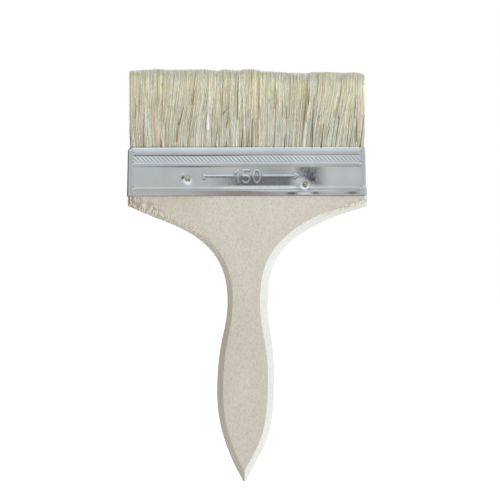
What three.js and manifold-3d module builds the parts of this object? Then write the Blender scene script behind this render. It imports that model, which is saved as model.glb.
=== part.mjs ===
// Flat pastry brush: a wooden paddle handle, a tinplate ferrule nailed round its head, and
// two rows of bristle set in resin on either side of a spacer strip.
//
// Millimetres. The origin is the tip of the handle. +Z runs up the brush to the bristle
// tips, X runs across its width, and Y through its thickness, with the front facing -Y.

import * as THREE from 'three';
import { mergeVertices } from 'three/addons/utils/BufferGeometryUtils.js';
import Module from 'manifold-3d';

const wasm = await Module();
wasm.setup();

// Driving dimensions.
const BRUSH_WIDTH = 152.4;       // nominal six inch brush, across the ferrule
const BRUSH_LENGTH = 263;        // handle tip to bristle tips
const HANDLE_THICKNESS = 12;
const FERRULE_DEPTH = 13;        // front panel to back panel, outside
const FERRULE_HEIGHT = 31;
const MOUTH_Z = 213;             // the ferrule's open end, where the bristles come out

// Clearances.
const FIT_GAP = 0.3;             // between a piece and the pocket or sleeve that holds it
const HEAD_GAP = 0.1;            // between a nail head and the tin under it

// Handle.
const TIP = new THREE.Vector2(1, 0);             // half-width and height on the outline
const BELLY = new THREE.Vector2(18.25, 61);
const NECK = new THREE.Vector2(12.8, 115.5);
const SHOULDER = new THREE.Vector2(76.3, 175.45);
const TIP_FLARE = 0.52;          // half-width gained per millimetre of height at the tip
const SHOULDER_SLOPE = 0.345;    // height gained per millimetre of half-width at the shoulder
const EDGE_CHAMFER = 3.8;
const CURVE_STEPS = 22;          // sections along each of the outline's three curves
// How far each of those curves holds the direction it has where it starts and where it ends.
const TIP_PULL = 20;
const BELLY_PULL_DOWN = 31;
const BELLY_PULL_UP = 30;
const NECK_PULL_DOWN = 20.5;
const NECK_PULL_UP = 35.4;
const SHOULDER_PULL = 42.3;
const RIDGE_HALF_WIDTH = 0.3;    // the flat left where the two chamfers meet at the tip
const HEAD_CHAMFER = 2.2;
const HEAD_TOP_Z = 197.5;

// Ferrule.
const TIN = 0.4;                 // sheet thickness
const FERRULE_CORNER = 3;        // radius of the upright corners
const CORNER_STEPS = 5;
const FERRULE_TAPER = 0.3;       // the foot stands out and the mouth draws in by this much
const BEAD_STEPS = 4;
const BEAD_RUN_OUT = 1.5;        // length over which a bead fades before the upright corner
const BEADS = [                  // raised bands pressed in the sheet: middle, height, rise
  { z: 187.2, height: 1.5, rise: 0.5 },
  { z: 202.8, height: 1.3, rise: 0.5 },
  { z: 205.6, height: 3.2, rise: 0.4 },
  { z: 210.4, height: 4.6, rise: 0.6 },
];

// Nails.
const SHANK_RADIUS = 0.6;
const SHANK_LENGTH = 9;
const POINT_LENGTH = 1.5;
const NAIL_HEAD_RADIUS = 1.4;
const NAIL_HEAD_HEIGHT = 0.7;
const DOME_STEPS = 4;
const NAIL_SIDES = 20;
const CUTTER_OVERRUN = 2;        // a hole's cutter reaches this far past what it cuts
const NAILS = [
  { name: 'nail_front_left', x: -37.4, z: 192.8, side: -1 },
  { name: 'nail_front_right', x: 37.1, z: 189.1, side: -1 },
  { name: 'nail_back_left', x: -45, z: 191.2, side: 1 },
  { name: 'nail_back_right', x: 45, z: 192.1, side: 1 },
];

// Bristles, resin and spacer.
const RESIN_BOTTOM_Z = HEAD_TOP_Z + 0.5;         // clear of the top of the handle
const RESIN_TOP_Z = 205;
const POCKET_FLOOR_Z = 200;
const SPACER_THICKNESS = 2;
const SPACER_TOP_Z = 206.5;
const SPACER_INSET = 8;          // from the inside of the ferrule's ends to the spacer's
const ROOT_THICKNESS = 2.6;
const ROOT_INSET = 2;            // the same to the ends of the roots
const ROOT_OFFSET = 3.3;         // from the middle plane to the middle of a row of roots
const ROOT_TOP_Z = 207.2;
const ROW_GAP = 0.3;             // between the front and the back row
const ROW_HALF_DEPTH = 4.9;      // at the mouth, middle plane to the outer face of a row
const ROW_TIP_HALF_DEPTH = 4.4;
const ROW_WIDTH = BRUSH_WIDTH - 3;
const FOOT_STEPS = 16;           // round a row's rounded foot

const halfWidth = BRUSH_WIDTH / 2;
const halfThickness = HANDLE_THICKNESS / 2;
const halfDepth = FERRULE_DEPTH / 2;
const footZ = MOUTH_Z - FERRULE_HEIGHT;
const insideHalfWidth = halfWidth - FERRULE_TAPER - TIN - FIT_GAP;
const insideHalfDepth = halfDepth - FERRULE_TAPER - TIN - FIT_GAP;
const headHalfWidth = insideHalfWidth + FERRULE_TAPER;
const headHalfDepth = insideHalfDepth + FERRULE_TAPER;

const wood = { color: 0xcbc5b8, roughness: 0.8, metalness: 0 };
const tin = { color: 0xb4b8b7, roughness: 0.35, metalness: 1 };
const steel = { color: 0xa9abab, roughness: 0.4, metalness: 1 };
const resin = { color: 0x8a7a58, roughness: 0.5, metalness: 0 };
const bristle = { color: 0xd2cbae, roughness: 0.7, metalness: 0 };

function mesh(name, geometry, look) {
  const piece = new THREE.Mesh(geometry, new THREE.MeshStandardMaterial(look));
  piece.name = name;
  return piece;
}

function solidOf(geometry) {
  const bare = geometry.clone();
  bare.deleteAttribute('normal');
  bare.deleteAttribute('uv');
  const welded = mergeVertices(bare);
  const vertProperties = new Float32Array(welded.attributes.position.array);
  const triVerts = new Uint32Array(welded.index.array);
  return new wasm.Manifold(new wasm.Mesh({ numProp: 3, vertProperties, triVerts }));
}

function geometryOf(solid) {
  const { vertProperties, triVerts } = solid.getMesh();
  const geometry = new THREE.BufferGeometry();
  geometry.setAttribute('position', new THREE.BufferAttribute(vertProperties, 3));
  geometry.setIndex(new THREE.BufferAttribute(triVerts, 1));
  return geometry;
}

function geometryFrom(points, triangles) {
  const geometry = new THREE.BufferGeometry();
  geometry.setAttribute('position', new THREE.Float32BufferAttribute(points.flat(), 3));
  geometry.setIndex(triangles.flat());
  return geometry;
}

// A closed solid through convex sections of equal point count, listed from the bottom up.
// Each section runs anticlockwise as seen from above.
function loft(sections) {
  const count = sections[0].length;
  const triangles = [];
  for (let level = 0; level < sections.length - 1; level += 1) {
    const low = level * count;
    const high = low + count;
    for (let here = 0; here < count; here += 1) {
      const next = (here + 1) % count;
      triangles.push([low + here, low + next, high + next]);
      triangles.push([low + here, high + next, high + here]);
    }
  }
  const top = (sections.length - 1) * count;
  for (let corner = 1; corner < count - 1; corner += 1) {
    triangles.push([0, corner + 1, corner]);
    triangles.push([top, top + corner, top + corner + 1]);
  }
  return geometryFrom(sections.flat(), triangles);
}

// One level of a chamfered board: the faces are faceHalf wide and the edges edgeHalf deep.
function boardSection(half, faceHalf, depth, edgeHalf, z) {
  return [
    [-faceHalf, -depth, z], [faceHalf, -depth, z],
    [half, -edgeHalf, z], [half, edgeHalf, z],
    [faceHalf, depth, z], [-faceHalf, depth, z],
    [-half, edgeHalf, z], [-half, -edgeHalf, z],
  ];
}

// The handle's right-hand outline from the tip to the shoulder, as three curves that meet
// upright at the belly and at the neck.
function outlineCurves() {
  const tipCurve = new THREE.CubicBezierCurve(
    TIP, new THREE.Vector2(TIP.x + TIP_FLARE * TIP_PULL, TIP.y + TIP_PULL),
    new THREE.Vector2(BELLY.x, BELLY.y - BELLY_PULL_DOWN), BELLY);
  const gripCurve = new THREE.CubicBezierCurve(
    BELLY, new THREE.Vector2(BELLY.x, BELLY.y + BELLY_PULL_UP),
    new THREE.Vector2(NECK.x, NECK.y - NECK_PULL_DOWN), NECK);
  const shoulderCurve = new THREE.CubicBezierCurve(
    NECK, new THREE.Vector2(NECK.x, NECK.y + NECK_PULL_UP),
    new THREE.Vector2(SHOULDER.x - SHOULDER_PULL, SHOULDER.y - SHOULDER_SLOPE * SHOULDER_PULL),
    SHOULDER);
  return [tipCurve, gripCurve, shoulderCurve];
}

// The chamfer is square to the outline, so it cuts further across a level where the outline
// leans. Near the tip the two chamfers meet in a ridge below the face.
function handleSection(point, tangent) {
  const lean = Math.abs(tangent.y);
  const faceHalf = point.x - EDGE_CHAMFER / lean;
  const kept = Math.max(faceHalf, RIDGE_HALF_WIDTH);
  const edgeHalf = halfThickness - EDGE_CHAMFER;
  const depth = edgeHalf + (point.x - kept) * lean;
  return boardSection(point.x, kept, depth, edgeHalf, point.y);
}

function handleGeometry() {
  const sections = [];
  for (const curve of outlineCurves()) {
    for (let step = 0; step < CURVE_STEPS; step += 1) {
      const t = step / CURVE_STEPS;
      sections.push(handleSection(curve.getPoint(t), curve.getTangent(t)));
    }
  }
  const edgeHalf = halfThickness - EDGE_CHAMFER;
  const slopeLength = Math.hypot(1, SHOULDER_SLOPE);
  const cornerFace = SHOULDER.x - EDGE_CHAMFER * slopeLength / SHOULDER_SLOPE;
  const cheekFace = SHOULDER.x - EDGE_CHAMFER;
  const cheekZ = SHOULDER.y + (cheekFace - cornerFace) * SHOULDER_SLOPE;
  const rebateZ = footZ - FIT_GAP;
  sections.push(boardSection(SHOULDER.x, cornerFace, halfThickness, edgeHalf, SHOULDER.y));
  sections.push(boardSection(SHOULDER.x, cheekFace, halfThickness, edgeHalf, cheekZ));
  sections.push(boardSection(SHOULDER.x, cheekFace, halfThickness, edgeHalf, rebateZ));
  for (const z of [rebateZ, HEAD_TOP_Z]) {
    sections.push(boardSection(
      headHalfWidth, headHalfWidth - HEAD_CHAMFER, headHalfDepth, headHalfDepth - HEAD_CHAMFER, z));
  }
  return loft(sections);
}

// Points round a rounded rectangle, with the outward direction at each. The beads have their
// full rise only between the corners of the front and back panels.
function sleevePath() {
  const path = [];
  const cornerX = halfWidth - FERRULE_CORNER;
  const cornerY = halfDepth - FERRULE_CORNER;
  const centres = [[1, -1], [1, 1], [-1, 1], [-1, -1]];
  centres.forEach(([signX, signY], quarter) => {
    for (let step = 0; step <= CORNER_STEPS; step += 1) {
      const angle = (quarter - 1 + step / CORNER_STEPS) * Math.PI / 2;
      const outX = Math.cos(angle);
      const outY = Math.sin(angle);
      path.push({
        x: signX * cornerX + FERRULE_CORNER * outX,
        y: signY * cornerY + FERRULE_CORNER * outY,
        outX,
        outY,
        beaded: 0,
      });
    }
    if (signX === signY) {
      for (const end of [signX, -signX]) {
        const x = end * (cornerX - BEAD_RUN_OUT);
        path.push({ x, y: signY * halfDepth, outX: 0, outY: signY, beaded: 1 });
      }
    }
  });
  return path;
}

function taperAt(z) {
  const middleZ = MOUTH_Z - FERRULE_HEIGHT / 2;
  return FERRULE_TAPER * (middleZ - z) / (FERRULE_HEIGHT / 2);
}

// The sheet's section, as distance out from the sleeve path, rise of a bead and height: up
// the outside over the beads, then down the inside.
function sheetProfile() {
  const profile = [{ out: taperAt(footZ), rise: 0, z: footZ }];
  for (const bead of BEADS) {
    for (let step = 0; step <= BEAD_STEPS; step += 1) {
      const angle = Math.PI * step / BEAD_STEPS;
      const z = bead.z - Math.cos(angle) * bead.height / 2;
      profile.push({ out: taperAt(z), rise: bead.rise * Math.sin(angle), z });
    }
  }
  profile.push({ out: taperAt(MOUTH_Z), rise: 0, z: MOUTH_Z });
  profile.push({ out: taperAt(MOUTH_Z) - TIN, rise: 0, z: MOUTH_Z });
  profile.push({ out: taperAt(footZ) - TIN, rise: 0, z: footZ });
  return profile;
}

function ferruleGeometry() {
  const path = sleevePath();
  const profile = sheetProfile();
  const points = [];
  const triangles = [];
  path.forEach((spot, column) => {
    const nextColumn = (column + 1) % path.length;
    profile.forEach((level, row) => {
      const nextRow = (row + 1) % profile.length;
      const here = column * profile.length + row;
      const right = nextColumn * profile.length + row;
      const up = column * profile.length + nextRow;
      const across = nextColumn * profile.length + nextRow;
      const out = level.out + level.rise * spot.beaded;
      points.push([spot.x + spot.outX * out, spot.y + spot.outY * out, level.z]);
      triangles.push([here, right, across], [here, across, up]);
    });
  });
  return geometryFrom(points, triangles);
}

// A domed nail standing on the XZ plane: its head points along +Y and its shank along -Y.
function nailGeometry() {
  const profile = [new THREE.Vector2(0, -SHANK_LENGTH)];
  profile.push(new THREE.Vector2(SHANK_RADIUS, POINT_LENGTH - SHANK_LENGTH));
  profile.push(new THREE.Vector2(SHANK_RADIUS, 0));
  for (let step = 0; step <= DOME_STEPS; step += 1) {
    const angle = Math.PI / 2 * step / DOME_STEPS;
    const radius = step < DOME_STEPS ? NAIL_HEAD_RADIUS * Math.cos(angle) : 0;
    profile.push(new THREE.Vector2(radius, NAIL_HEAD_HEIGHT * Math.sin(angle)));
  }
  return new THREE.LatheGeometry(profile, NAIL_SIDES);
}

// Where the outside of the sheet is at a nail, measured from the middle plane.
function panelHalfDepth(nail) {
  return halfDepth + taperAt(nail.z);
}

function nailMesh(nail) {
  const piece = mesh(nail.name, nailGeometry(), steel);
  piece.position.set(nail.x, nail.side * (panelHalfDepth(nail) + HEAD_GAP), nail.z);
  piece.rotation.x = nail.side < 0 ? Math.PI : 0;
  return piece;
}

// A cutter on a nail's axis, between two distances from the middle plane.
function cutterAt(nail, radius, innerEnd, outerEnd) {
  const cutter = new THREE.CylinderGeometry(radius, radius, outerEnd - innerEnd, NAIL_SIDES);
  cutter.translate(nail.x, nail.side * (innerEnd + outerEnd) / 2, nail.z);
  return solidOf(cutter);
}

// Clearance holes for the nails, each from outside the sheet to just past the nail's point.
function drilled(solid) {
  return NAILS.reduce((drilledSoFar, nail) => drilledSoFar.subtract(cutterAt(
    nail, SHANK_RADIUS + FIT_GAP, halfDepth - SHANK_LENGTH - CUTTER_OVERRUN,
    halfDepth + CUTTER_OVERRUN)), solid);
}

// A bead that runs under a nail's head is pressed flat there.
function flattened(solid) {
  return NAILS.reduce((flatSoFar, nail) => flatSoFar.subtract(cutterAt(
    nail, NAIL_HEAD_RADIUS + FIT_GAP, panelHalfDepth(nail), halfDepth + CUTTER_OVERRUN)), solid);
}

function boxBetween(halfX, lowY, highY, lowZ, highZ) {
  const box = new THREE.BoxGeometry(2 * halfX, highY - lowY, highZ - lowZ);
  box.translate(0, (lowY + highY) / 2, (lowZ + highZ) / 2);
  return box;
}

const rootHalfX = insideHalfWidth - ROOT_INSET;
const spacerHalfX = insideHalfWidth - SPACER_INSET;

function rootGeometry(side) {
  const middle = side * ROOT_OFFSET;
  return boxBetween(rootHalfX, middle - ROOT_THICKNESS / 2, middle + ROOT_THICKNESS / 2,
    POCKET_FLOOR_Z + FIT_GAP, ROOT_TOP_Z);
}

function spacerGeometry() {
  return boxBetween(spacerHalfX, -SPACER_THICKNESS / 2, SPACER_THICKNESS / 2,
    POCKET_FLOOR_Z + FIT_GAP, SPACER_TOP_Z);
}

// The set resin fills the ferrule above the handle, with pockets for the roots and spacer.
function resinGeometry() {
  const corner = HEAD_CHAMFER;
  let block = solidOf(loft([RESIN_BOTTOM_Z, RESIN_TOP_Z].map((z) => boardSection(
    insideHalfWidth, insideHalfWidth - corner, insideHalfDepth, insideHalfDepth - corner, z))));
  const pocketTop = RESIN_TOP_Z + CUTTER_OVERRUN;
  const rootPocketHalf = ROOT_THICKNESS / 2 + FIT_GAP;
  for (const side of [-1, 1]) {
    const middle = side * ROOT_OFFSET;
    block = block.subtract(solidOf(boxBetween(rootHalfX + FIT_GAP,
      middle - rootPocketHalf, middle + rootPocketHalf, POCKET_FLOOR_Z, pocketTop)));
  }
  const spacerPocketHalf = SPACER_THICKNESS / 2 + FIT_GAP;
  block = block.subtract(solidOf(boxBetween(spacerHalfX + FIT_GAP,
    -spacerPocketHalf, spacerPocketHalf, POCKET_FLOOR_Z, pocketTop)));
  return geometryOf(block);
}

// The bending part of the front row, drawn in the YZ plane about the bend axis at the mouth.
// Its foot is round about that axis, so that it turns inside the ferrule.
function rowGeometry() {
  const inner = -ROW_GAP / 2;
  const tipHeight = BRUSH_LENGTH - MOUTH_Z;
  const footAngle = Math.PI + Math.acos(-inner / ROW_HALF_DEPTH);
  const side = new THREE.Shape();
  side.absarc(0, 0, ROW_HALF_DEPTH, footAngle, Math.PI, true);
  side.lineTo(-ROW_TIP_HALF_DEPTH, tipHeight);
  side.lineTo(inner, tipHeight);
  side.closePath();
  const row = new THREE.ExtrudeGeometry(
    side, { depth: ROW_WIDTH, bevelEnabled: false, curveSegments: FOOT_STEPS });
  const alongX = new THREE.Matrix4().makeBasis(
    new THREE.Vector3(0, 1, 0), new THREE.Vector3(0, 0, 1), new THREE.Vector3(1, 0, 0));
  row.applyMatrix4(alongX);
  row.translate(-ROW_WIDTH / 2, 0, MOUTH_Z);
  return row;
}

const brush = new THREE.Group();
brush.add(mesh('handle', geometryOf(drilled(solidOf(handleGeometry()))), wood));
brush.add(mesh('ferrule', geometryOf(drilled(flattened(solidOf(ferruleGeometry())))), tin));
for (const nail of NAILS) {
  brush.add(nailMesh(nail));
}
brush.add(mesh('resin_set', resinGeometry(), resin));
brush.add(mesh('spacer_strip', spacerGeometry(), wood));
brush.add(mesh('bristle_roots_front', rootGeometry(-1), bristle));
brush.add(mesh('bristle_roots_back', rootGeometry(1), bristle));

const frontRow = mesh('bristles_front', rowGeometry(), bristle);
const backRow = mesh('bristles_back', rowGeometry(), bristle);
backRow.rotation.z = Math.PI;
brush.add(frontRow, backRow);

export default brush;
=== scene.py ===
"""The looks of a flat pastry brush: wooden handle, beaded tinplate ferrule, natural bristle.

Metres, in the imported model's frame: X runs across the width, the front faces -Y, and +Z runs
from the tip of the handle, at the origin, up to the ends of the bristles.
"""

import math

import bpy
import numpy as np
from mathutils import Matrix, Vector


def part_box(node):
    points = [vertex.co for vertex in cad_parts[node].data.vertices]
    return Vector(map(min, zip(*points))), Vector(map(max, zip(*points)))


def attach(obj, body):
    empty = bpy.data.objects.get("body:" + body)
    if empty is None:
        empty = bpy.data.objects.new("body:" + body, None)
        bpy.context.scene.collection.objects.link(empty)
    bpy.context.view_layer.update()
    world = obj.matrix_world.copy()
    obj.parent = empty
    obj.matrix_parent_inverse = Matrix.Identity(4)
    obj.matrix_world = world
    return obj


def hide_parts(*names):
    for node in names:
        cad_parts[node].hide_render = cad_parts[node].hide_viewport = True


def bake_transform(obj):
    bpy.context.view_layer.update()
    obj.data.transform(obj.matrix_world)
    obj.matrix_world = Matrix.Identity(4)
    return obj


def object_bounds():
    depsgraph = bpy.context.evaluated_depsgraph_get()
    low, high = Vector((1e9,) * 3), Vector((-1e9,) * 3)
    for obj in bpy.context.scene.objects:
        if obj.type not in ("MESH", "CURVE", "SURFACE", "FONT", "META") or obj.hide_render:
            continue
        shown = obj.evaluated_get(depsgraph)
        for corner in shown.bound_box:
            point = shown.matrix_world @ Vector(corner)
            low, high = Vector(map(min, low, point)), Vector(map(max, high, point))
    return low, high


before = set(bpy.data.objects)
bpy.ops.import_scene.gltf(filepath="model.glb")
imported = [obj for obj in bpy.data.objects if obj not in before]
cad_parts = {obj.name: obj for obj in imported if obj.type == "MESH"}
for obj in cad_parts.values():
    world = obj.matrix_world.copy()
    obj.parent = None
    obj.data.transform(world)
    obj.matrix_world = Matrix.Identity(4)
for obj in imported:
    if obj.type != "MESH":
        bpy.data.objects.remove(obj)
cad_low, cad_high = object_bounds()

MM = 0.001
ROOT_BODY = "brush_body"

handle_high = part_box("handle")[1]
ferrule_low, ferrule_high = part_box("ferrule")
roots_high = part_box("bristle_roots_back")[1]

FOOT_Z = ferrule_low.z
MOUTH_Z = ferrule_high.z
SHOULDER_HALF = handle_high.x  # half the width of the handle at the ferrule
BOARD_HALF = handle_high.y  # half the thickness of the handle
EDGE_CHAMFER = 3.8 * MM
EDGE_GAP = 0.3 * MM  # between the handle's shoulder and the ferrule's foot

TAPER = 0.3 * MM  # the ferrule's foot stands out and its mouth draws in
TIN = 0.4 * MM
FERRULE_CORNER = 3 * MM
SLEEVE_HALF_X = ferrule_high.x - TAPER
SLEEVE_HALF_Y = BOARD_HALF + 0.5 * MM


# ---- meshes and attributes

def mesh_object(name, points, faces, smooth=True):
    """A mesh from rows of xyz and lists of their indices, as a new object in the scene."""
    mesh = bpy.data.meshes.new(name)
    mesh.from_pydata(np.asarray(points).tolist(), [], faces)
    if smooth:
        mesh.shade_smooth()
    mesh.update()
    piece = bpy.data.objects.new(name, mesh)
    bpy.context.scene.collection.objects.link(piece)
    return piece


def point_data(piece, name, values, kind="FLOAT", field="value"):
    """A number or colour at each point of a piece, for its material to read."""
    attribute = piece.data.attributes.new(name, kind, "POINT")
    attribute.data.foreach_set(field, np.asarray(values, np.float32).ravel())


def quads_between(lower, upper, count):
    """Quads between rings of count points, given the first index of each pair of rings."""
    lower, upper = lower[:, None], upper[:, None]
    here = np.arange(count)[None, :]
    after = (here + 1) % count
    quads = np.stack([lower + here, lower + after, upper + after, upper + here], -1)
    return quads.reshape(-1, 4).tolist()


def ring_faces(rings, count):
    """Faces round rings of count points, listed from the bottom up, anticlockwise from above,
    with the first and last ring closed by one face each."""
    starts = np.arange(rings) * count
    top = (rings - 1) * count
    caps = [list(range(count))[::-1], list(range(top, top + count))]
    return quads_between(starts[:-1], starts[1:], count) + caps


def smooth_line(points, steps):
    """A Catmull-Rom curve through the points, with this many steps between two of them."""
    points = np.asarray(points, float)
    ends = np.vstack([2 * points[0] - points[1], points, 2 * points[-1] - points[-2]])
    t = np.linspace(0, 1, steps, endpoint=False)[:, None]
    spans = []
    for a, b, c, d in zip(ends[:-3], ends[1:-2], ends[2:-1], ends[3:]):
        spans.append(0.5 * (2 * b + (c - a) * t + (2 * a - 5 * b + 4 * c - d) * t**2
                            + (3 * b - a - 3 * c + d) * t**3))
    return np.vstack(spans + [points[-1:]])


def line_distance(points, line):
    """For each 2-D point, the distance to a polyline and the index of its nearest stretch."""
    start, along = line[:-1], np.diff(line, axis=0)
    length2 = np.maximum((along**2).sum(1), 1e-18)
    gap = points[:, None, :] - start[None]
    share = np.clip((gap * along).sum(2) / length2, 0, 1)
    miss = gap - share[..., None] * along
    distance = np.sqrt((miss**2).sum(2))
    nearest = distance.argmin(1)
    return distance[np.arange(len(points)), nearest], nearest


def smoothstep(value, low, high):
    """A smooth rise from 0 to 1 between low and high."""
    t = np.clip((value - low) / (high - low), 0, 1)
    return t * t * (3 - 2 * t)


def bump(value, middle, width):
    """A smooth hump, 1 at its middle."""
    return np.exp(-(((value - middle) / width) ** 2))


# ---- material helpers

def srgb(red, green, blue):
    """A colour given as 0-255 screen values, as linear RGBA."""
    linear = []
    for channel in (red, green, blue):
        share = channel / 255
        linear.append(share / 12.92 if share <= 0.04045 else ((share + 0.055) / 1.055) ** 2.4)
    return (*linear, 1)


class NodeTree:
    """Short calls to add nodes to a tree. An input is either a socket to link or a value."""

    def __init__(self, tree):
        self.tree = tree

    def add(self, kind, inputs=(), **settings):
        node = self.tree.nodes.new(kind)
        for key, value in settings.items():
            setattr(node, key, value)
        for key, value in dict(inputs).items():
            self.set(node.inputs[key], value)
        return node

    def set(self, socket, value):
        if isinstance(value, bpy.types.NodeSocket):
            self.tree.links.new(value, socket)
        else:
            socket.default_value = value

    def range(self, value, low, high, to_low=0.0, to_high=1.0):
        """A value between low and high, brought to between to_low and to_high."""
        return self.add("ShaderNodeMapRange", {
            0: value, 1: low, 2: high, 3: to_low, 4: to_high}).outputs[0]

    def maths(self, operation, first, second=0.0):
        return self.add("ShaderNodeMath", {0: first, 1: second}, operation=operation).outputs[0]

    def times(self, first, second):
        return self.maths("MULTIPLY", first, second)

    def mix(self, share, first, second):
        """The first colour at share 0, the second at share 1."""
        node = self.add("ShaderNodeMix", data_type="RGBA")
        for index, value in ((0, share), (6, first), (7, second)):
            self.set(node.inputs[index], value)
        return node.outputs[2]

    def ramp(self, value, stops):
        """Colours along a value that runs from -1 to 1."""
        node = self.add("ShaderNodeValToRGB", {0: self.range(value, -1, 1)})
        points = node.color_ramp.elements
        while len(points) < len(stops):
            points.new(0.5)
        for point, (place, colour) in zip(points, stops):
            point.position = place
            point.color = (*colour, 1)
        return node.outputs[0]


class Material(NodeTree):
    """A node material with one Principled shader."""

    def __init__(self, name):
        self.material = bpy.data.materials.new(name)
        self.material.use_nodes = True
        super().__init__(self.material.node_tree)
        self.shader = self.tree.nodes["Principled BSDF"]
        self.place = self.add("ShaderNodeTexCoord").outputs["Object"]

    def surface(self, **inputs):
        """Set the shader's inputs, with _ for the spaces in their names."""
        for key, value in inputs.items():
            self.set(self.shader.inputs[key.replace("_", " ")], value)

    def bumped(self, height, distance):
        self.surface(Normal=self.add("ShaderNodeBump", {
            "Height": height, "Distance": distance, "Strength": 1.0}).outputs[0])

    def stretched(self, x, y, z):
        """Object coordinates, scaled: below 1, a pattern is drawn out along that axis."""
        return self.add("ShaderNodeMapping", {"Vector": self.place, "Scale": (x, y, z)}).outputs[0]

    def noise(self, place, scale, detail=2.0, roughness=0.5):
        return self.add("ShaderNodeTexNoise", {
            "Vector": place, "Scale": scale, "Detail": detail, "Roughness": roughness}).outputs[0]

    def attribute(self, name, output="Fac"):
        return self.add("ShaderNodeAttribute", attribute_name=name).outputs[output]


def paint(piece, material):
    """Give a piece one material."""
    piece.data.materials.clear()
    piece.data.materials.append(material)


# ---- materials

def wood_stain(wood, across, up):
    """How stained the wood is: at both ends of the shoulders, most in the left-hand corner."""
    left = wood.maths("ADD", wood.range(across, -0.022, -0.042, 0, 0.5),
                      wood.range(across, -0.067, -0.075, 0, 0.8))
    right = wood.range(across, 0.045, 0.075, 0, 0.35)
    high = wood.range(up, 0.160, 0.184)
    corner = wood.times(wood.maths("ADD", left, right), high)
    cloud = wood.noise(wood.stretched(1, 1, 0.3), 260, 3)
    return wood.times(corner, wood.range(cloud, 0.3, 0.62, 0.35, 1))


def wood_material(name, light, dark, tan):
    """Sanded hardwood with its grain along Z. Attributes of the mesh say where it is planed and
    takes painted light, where a side wall takes painted shade ("wall"), or end grain ("furry")."""
    wood = Material(name)
    streaks = wood.noise(wood.stretched(1, 1, 0.03), 700, 4, 0.6)
    blotches = wood.noise(wood.stretched(1, 1, 0.4), 55, 3, 0.55)
    speckle = wood.noise(wood.stretched(1, 1, 0.3), 1800, 2, 0.8)
    fibres = wood.noise(wood.stretched(1, 1, 0.4), 1050, 3, 0.65)
    blush = wood.noise(wood.stretched(1, 1, 0.5), 640, 2)
    across, _, up = wood.add("ShaderNodeSeparateXYZ", {0: wood.place}).outputs
    planed_and_lit = wood.attribute("planed_and_lit")
    wall = wood.attribute("wall")
    furry = wood.attribute("furry")

    colour = wood.mix(wood.range(blotches, 0.3, 0.7, 0, 0.7), light, dark)
    colour = wood.mix(wood.range(streaks, 0.35, 0.8, 0, 0.25), colour, dark)
    colour = wood.mix(wood_stain(wood, across, up), colour, tan)
    colour = wood.mix(wood.range(blush, 0.42, 0.7, 0, 0.4), colour, srgb(212, 194, 180))
    # Painted light: lighter from the neck up, for the light from above.
    colour = wood.mix(wood.range(up, 0.09, 0.15, 0, 0.11), colour, srgb(232, 227, 213))
    # Painted light: the planed chamfers and walls are mixed towards a cool pale colour, for the cool
    # light from the right.
    colour = wood.mix(wood.times(planed_and_lit, 0.25), colour, srgb(224, 233, 234))
    # Painted shade: the side walls are mixed darker, the right-hand one most.
    colour = wood.mix(wood.times(wall, 0.55), colour, srgb(160, 150, 134))
    grain = wood.times(wood.range(speckle, 0.46, 0.80), wood.range(planed_and_lit, 0, 1, 0.76, 0.45))
    colour = wood.mix(grain, colour, srgb(160, 151, 137))
    raised = wood.times(wood.range(fibres, 0.46, 0.38), furry)
    colour = wood.mix(wood.times(raised, 0.5), colour, srgb(242, 232, 212))
    pits = wood.times(wood.range(fibres, 0.46, 0.58), furry)
    torn = wood.times(pits, 0.55)
    colour = wood.mix(torn, colour, srgb(134, 110, 82))
    wood.surface(Base_Color=colour, Roughness=wood.range(speckle, 0.2, 0.8, 0.65, 0.8),
                 Specular_IOR_Level=0.25)
    wood.bumped(wood.maths("SUBTRACT", wood.times(speckle, 0.12), torn), 0.2 * MM)
    return wood.material


def tin_material():
    """Rolled tinplate. Attributes of the mesh say where it takes painted shade and grime, a painted
    reddish reflection, or a painted highlight.
    """
    tin = Material("tinplate")
    cloud = tin.noise(tin.place, 60, 3)
    speckle = tin.noise(tin.place, 1700, 2, 0.6)
    rolled = tin.noise(tin.stretched(0.03, 0.03, 1), 2200, 2)
    colour = tin.mix(tin.range(cloud, 0.3, 0.7), srgb(206, 209, 207), srgb(199, 203, 203))
    colour = tin.mix(tin.range(speckle, 0.45, 0.75, 0, 0.2), colour, srgb(178, 179, 178))
    # Painted reddish reflection on the foot band.
    colour = tin.mix(tin.attribute("red_reflection"), colour, srgb(196, 152, 140))
    # Painted shade and grime, in streaks.
    streaked = tin.range(tin.noise(tin.stretched(1, 1, 0.3), 1500, 2), 0.35, 0.65, 0.78, 1.22)
    shade_and_grime = tin.times(tin.attribute("shade_and_grime"), streaked)
    colour = tin.mix(shade_and_grime, colour, srgb(80, 80, 84))
    # Painted highlight round the lower rims of the nail dimples: pale and less metallic.
    rim_highlight = tin.attribute("rim_highlight")
    colour = tin.mix(rim_highlight, colour, srgb(240, 242, 242))
    tin.surface(Base_Color=colour, Metallic=tin.range(rim_highlight, 0, 1, 1, 0.2),
                Roughness=tin.range(cloud, 0.3, 0.7, 0.2, 0.28))
    tin.bumped(tin.maths("ADD", speckle, tin.times(rolled, 0.4)), 0.006 * MM)
    return tin.material


def nail_material():
    """Dull steel with worn and dirty spots."""
    steel = Material("nail_steel")
    wear = steel.noise(steel.place, 900, 3, 0.7)
    colour = steel.mix(steel.range(wear, 0.42, 0.6), srgb(214, 210, 194), srgb(124, 116, 98))
    steel.surface(Base_Color=colour, Metallic=0.7, Roughness=steel.range(wear, 0.3, 0.7, 0.3, 0.5))
    steel.bumped(wear, 0.05 * MM)
    return steel.material


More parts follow.
